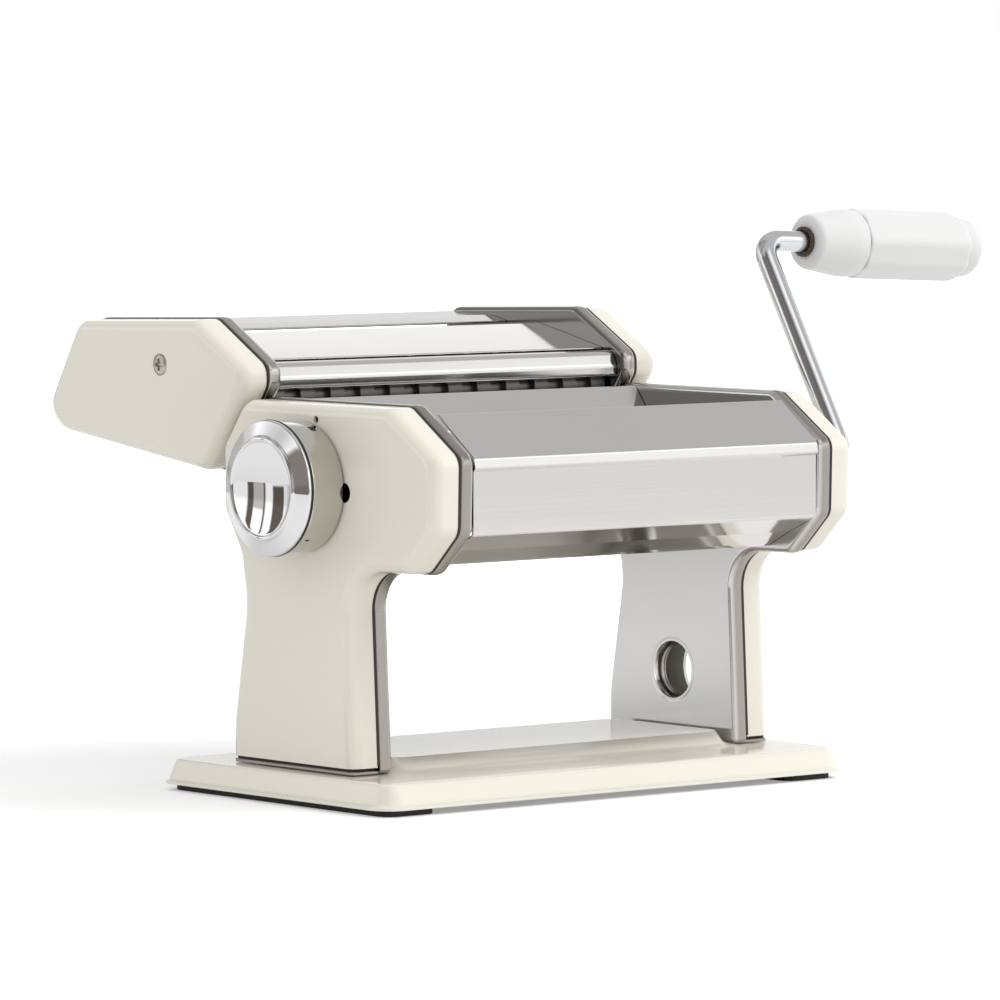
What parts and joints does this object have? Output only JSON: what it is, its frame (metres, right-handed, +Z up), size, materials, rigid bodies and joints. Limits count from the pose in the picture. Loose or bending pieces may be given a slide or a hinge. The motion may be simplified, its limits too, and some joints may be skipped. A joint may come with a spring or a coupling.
{
  "type": "hand-cranked pasta maker",
  "caption": "Hand-cranked pasta maker: smooth rollers between two leg frames on a base, a round setting knob, a bent crank with a turning grip and a slide-on noodle cutter unit behind.",
  "frame": {"origin": "on the table, under the middle of the whole part's box with the crank as in the picture", "axes": "+X along the rollers from the setting knob to the crank, +Y from the front guard to the cutter unit, +Z up"},
  "size_m": [0.3325, 0.2149, 0.1945],
  "materials": {
    "mat_base_plate": "cream gloss enamel",
    "mat_rubber_strip_left": "matt black",
    "mat_rubber_strip_right": "matt black",
    "mat_side_frame_left": "polished",
    "mat_side_frame_right": "polished",
    "mat_side_cover_left": "cream gloss enamel",
    "mat_side_cover_right": "cream gloss enamel",
    "mat_clamp_eyelet": "satin",
    "mat_front_guard": "polished",
    "mat_rear_hopper": "polished",
    "mat_tie_rod_low": "zinc plated",
    "mat_tie_rod_high": "zinc plated",
    "mat_roller_scraper_front": "satin",
    "mat_roller_scraper_rear": "satin",
    "mat_front_bush_left": "machined",
    "mat_front_bush_right": "machined",
    "mat_rear_bush_left": "machined",
    "mat_rear_bush_right": "machined",
    "mat_carriage_arm": "satin",
    "mat_carriage_stud": "zinc plated",
    "mat_front_roller": "satin polished",
    "mat_rear_roller": "satin polished",
    "mat_front_roller_gear": "machined",
    "mat_rear_roller_gear": "machined",
    "mat_regulator_shaft": "zinc plated",
    "mat_regulator_cam": "machined",
    "mat_index_plate": "satin",
    "mat_knob_skirt": "mirror chrome",
    "mat_knob_face": "mirror chrome",
    "mat_index_pin": "zinc plated",
    "mat_crank_rod": "zinc plated",
    "mat_grip_washer": "zinc plated",
    "mat_grip_nose": "white, half matt",
    "mat_grip_barrel": "white, half matt",
    "mat_grip_cap": "white, half matt",
    "mat_cutter_frame_left": "polished",
    "mat_cutter_frame_right": "polished",
    "mat_cutter_cover_left": "cream gloss enamel",
    "mat_cutter_cover_right": "cream gloss enamel",
    "mat_cutter_screw_left": "zinc plated",
    "mat_cutter_screw_right": "zinc plated",
    "mat_cutter_back_sheet": "polished",
    "mat_cutter_centre_sheet": "polished",
    "mat_cutter_front_bar": "polished",
    "mat_cutter_tie_rod": "zinc plated",
    "mat_wide_cutter_front": "satin",
    "mat_wide_cutter_back": "satin",
    "mat_narrow_cutter_front": "satin",
    "mat_narrow_cutter_back": "satin",
    "mat_wide_gear_front": "machined",
    "mat_wide_gear_back": "machined",
    "mat_narrow_gear_front": "machined",
    "mat_narrow_gear_back": "machined",
    "mat_cutter_comb_wide": "satin",
    "mat_cutter_comb_narrow": "satin"
  },
  "bodies": {
    "machine": {"base_plate": "mat_base_plate", "rubber_strip_left": "mat_rubber_strip_left", "rubber_strip_right": "mat_rubber_strip_right", "side_frame_left": "mat_side_frame_left", "side_frame_right": "mat_side_frame_right", "side_cover_left": "mat_side_cover_left", "side_cover_right": "mat_side_cover_right", "clamp_eyelet": "mat_clamp_eyelet", "front_guard": "mat_front_guard", "rear_hopper": "mat_rear_hopper", "tie_rod_low": "mat_tie_rod_low", "tie_rod_high": "mat_tie_rod_high", "roller_scraper_front": "mat_roller_scraper_front", "roller_scraper_rear": "mat_roller_scraper_rear", "front_bush_left": "mat_front_bush_left", "front_bush_right": "mat_front_bush_right", "index_plate": "mat_index_plate"},
    "front_roller": {"front_roller": "mat_front_roller", "front_roller_gear": "mat_front_roller_gear"},
    "crank": {"crank_rod": "mat_crank_rod", "grip_washer": "mat_grip_washer"},
    "grip": {"grip_nose": "mat_grip_nose", "grip_barrel": "mat_grip_barrel", "grip_cap": "mat_grip_cap"},
    "gap_carriage": {"rear_bush_left": "mat_rear_bush_left", "rear_bush_right": "mat_rear_bush_right", "carriage_arm": "mat_carriage_arm", "carriage_stud": "mat_carriage_stud"},
    "rear_roller": {"rear_roller": "mat_rear_roller", "rear_roller_gear": "mat_rear_roller_gear"},
    "regulator": {"regulator_shaft": "mat_regulator_shaft", "regulator_cam": "mat_regulator_cam"},
    "knob": {"knob_skirt": "mat_knob_skirt", "knob_face": "mat_knob_face", "index_pin": "mat_index_pin"},
    "cutter_unit": {"cutter_frame_left": "mat_cutter_frame_left", "cutter_frame_right": "mat_cutter_frame_right", "cutter_cover_left": "mat_cutter_cover_left", "cutter_cover_right": "mat_cutter_cover_right", "cutter_screw_left": "mat_cutter_screw_left", "cutter_screw_right": "mat_cutter_screw_right", "cutter_back_sheet": "mat_cutter_back_sheet", "cutter_centre_sheet": "mat_cutter_centre_sheet", "cutter_front_bar": "mat_cutter_front_bar", "cutter_tie_rod": "mat_cutter_tie_rod", "cutter_comb_wide": "mat_cutter_comb_wide", "cutter_comb_narrow": "mat_cutter_comb_narrow"},
    "wide_front": {"wide_cutter_front": "mat_wide_cutter_front", "wide_gear_front": "mat_wide_gear_front"},
    "wide_back": {"wide_cutter_back": "mat_wide_cutter_back", "wide_gear_back": "mat_wide_gear_back"},
    "narrow_front": {"narrow_cutter_front": "mat_narrow_cutter_front", "narrow_gear_front": "mat_narrow_gear_front"},
    "narrow_back": {"narrow_cutter_back": "mat_narrow_cutter_back", "narrow_gear_back": "mat_narrow_gear_back"}
  },
  "joints": [
    {"name": "crank_turn", "type": "hinge", "parent": "machine", "child": "front_roller", "pos_m": [-0.0542, -0.0712, 0.109], "axis": [1, 0, 0], "continuous": true},
    {"name": "crank_pull", "type": "slide", "parent": "front_roller", "child": "crank", "axis": [1, 0, 0], "range_m": [0, 0.02]},
    {"name": "grip_spin", "type": "hinge", "parent": "crank", "child": "grip", "pos_m": [0.0668, -0.0268, 0.1841], "axis": [0.9986, -0.0266, -0.0451], "continuous": true},
    {"name": "knob_turn", "type": "hinge", "parent": "machine", "child": "regulator", "pos_m": [-0.0542, -0.0389, 0.106], "axis": [1, 0, 0], "range_deg": [0, 270]},
    {"name": "knob_pull", "type": "slide", "parent": "regulator", "child": "knob", "axis": [-1, 0, 0], "range_m": [0, 0.004], "stiffness_N_per_m": 1500, "springref_m": -0.002},
    {"name": "gap_slide", "type": "slide", "parent": "machine", "child": "gap_carriage", "axis": [0, 1, 0], "range_m": [0, 0.0042]},
    {"name": "rear_roller_spin", "type": "hinge", "parent": "gap_carriage", "child": "rear_roller", "pos_m": [-0.0542, -0.0389, 0.106], "axis": [1, 0, 0], "continuous": true},
    {"name": "cutter_slide", "type": "slide", "parent": "machine", "child": "cutter_unit", "axis": [0, -0.6, 0.8], "range_m": [0, 0.06]},
    {"name": "wide_turn", "type": "hinge", "parent": "cutter_unit", "child": "wide_front", "pos_m": [-0.0542, 0.0121, 0.1332], "axis": [1, 0, 0], "continuous": true},
    {"name": "wide_mate_turn", "type": "hinge", "parent": "cutter_unit", "child": "wide_back", "pos_m": [-0.0542, 0.0283, 0.1332], "axis": [1, 0, 0], "continuous": true},
    {"name": "narrow_turn", "type": "hinge", "parent": "cutter_unit", "child": "narrow_front", "pos_m": [-0.0542, 0.0483, 0.136], "axis": [1, 0, 0], "continuous": true},
    {"name": "narrow_mate_turn", "type": "hinge", "parent": "cutter_unit", "child": "narrow_back", "pos_m": [-0.0542, 0.0645, 0.136], "axis": [1, 0, 0], "continuous": true}
  ],
  "couplings": [
    {"joint": "knob_turn", "follows": "gap_slide", "rad_per_m": 1122},
    {"joint": "rear_roller_spin", "follows": "crank_turn", "ratio": -1},
    {"joint": "wide_mate_turn", "follows": "wide_turn", "ratio": -1},
    {"joint": "narrow_mate_turn", "follows": "narrow_turn", "ratio": -1}
  ]
}
